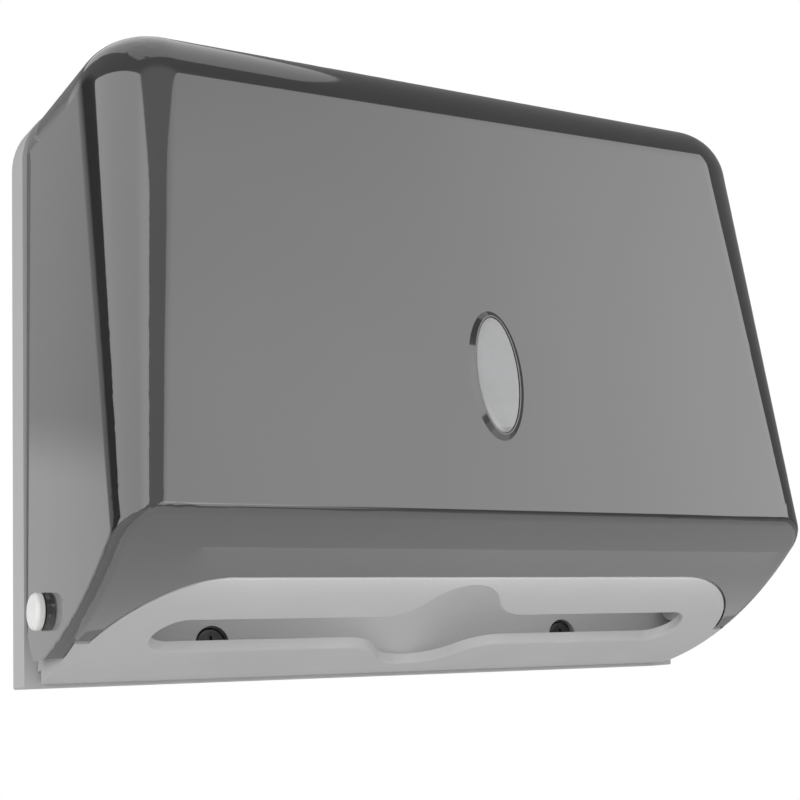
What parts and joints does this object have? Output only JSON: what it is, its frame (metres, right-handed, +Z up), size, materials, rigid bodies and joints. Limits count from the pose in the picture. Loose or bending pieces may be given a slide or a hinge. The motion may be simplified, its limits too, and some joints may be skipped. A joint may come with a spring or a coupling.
{
  "type": "paper towel dispenser",
  "caption": "Wall-mounted dispenser for folded paper towels, with a cover that tips forward, a sight window, a cam lock and a shaped slot underneath.",
  "frame": {"origin": "middle of the rectangle of the four wall-screw holes, on the wall side of the back plate", "axes": "+X to the right as a person faces the dispenser, +Y into the wall, +Z up"},
  "size_m": [0.2774, 0.1002, 0.2063],
  "materials": {
    "light_grey_plastic": "satin",
    "smoke_grey_plastic": "glossy",
    "frosted_lens": "frosted",
    "white_plastic": "semi-gloss",
    "nickel_plate": "nickel plated",
    "plated_steel": "zinc plated",
    "black_steel": "black oxide"
  },
  "bodies": {
    "wall_unit": {"back_plate": "light_grey_plastic", "towel_tray": "light_grey_plastic", "tray_screw_left": "black_steel", "tray_screw_right": "black_steel", "left_hinge_pin": "white_plastic", "right_hinge_pin": "white_plastic", "lock_keeper": "plated_steel", "keeper_screw_lower": "plated_steel", "keeper_screw_upper": "plated_steel"},
    "cover": {"front_cover": "smoke_grey_plastic", "sight_window": "frosted_lens", "lock_housing": "nickel_plate", "lock_washer": "plated_steel", "lock_nut": "nickel_plate"},
    "lock": {"lock_barrel": "nickel_plate", "lock_cam": "plated_steel", "lock_cam_screw": "plated_steel"}
  },
  "joints": [
    {"name": "cover_hinge", "type": "hinge", "parent": "wall_unit", "child": "cover", "pos_m": [0, -0.0312, -0.0768], "axis": [1, 0, 0], "range_deg": [0, 85]},
    {"name": "lock_turn", "type": "hinge", "parent": "cover", "child": "lock", "pos_m": [0, -0.03236, 0.10424], "axis": [0, -0.0619, -0.9981], "range_deg": [0, 90]}
  ]
}
